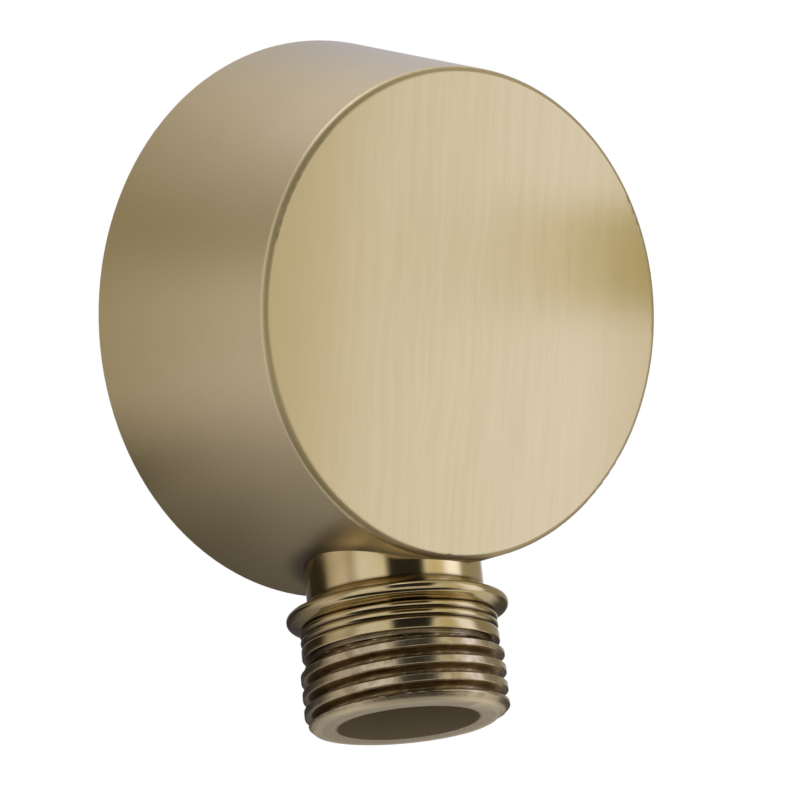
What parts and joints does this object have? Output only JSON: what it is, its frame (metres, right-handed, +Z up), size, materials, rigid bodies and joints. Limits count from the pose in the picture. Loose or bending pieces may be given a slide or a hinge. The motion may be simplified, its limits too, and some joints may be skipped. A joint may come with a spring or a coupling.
{
  "type": "wall outlet elbow",
  "caption": "Wall outlet elbow for a hand shower: a tapered round brass drum that screws onto a pipe end at the wall, with a polished threaded hose outlet leaning out of its underside.",
  "frame": {"origin": "where the drum's axis meets the plane of the wall", "axes": "+Z up, +Y into the wall along the inlet's axis, so the drum's flat front faces -Y; X runs along the wall"},
  "size_m": [0.0582, 0.0279, 0.0733],
  "materials": {
    "drum": "brushed",
    "nipple": "polished",
    "seal": "matte"
  },
  "bodies": {
    "root": {"drum_body": "drum", "outlet_nipple": "nipple", "nipple_seal": "seal"}
  },
  "joints": []
}
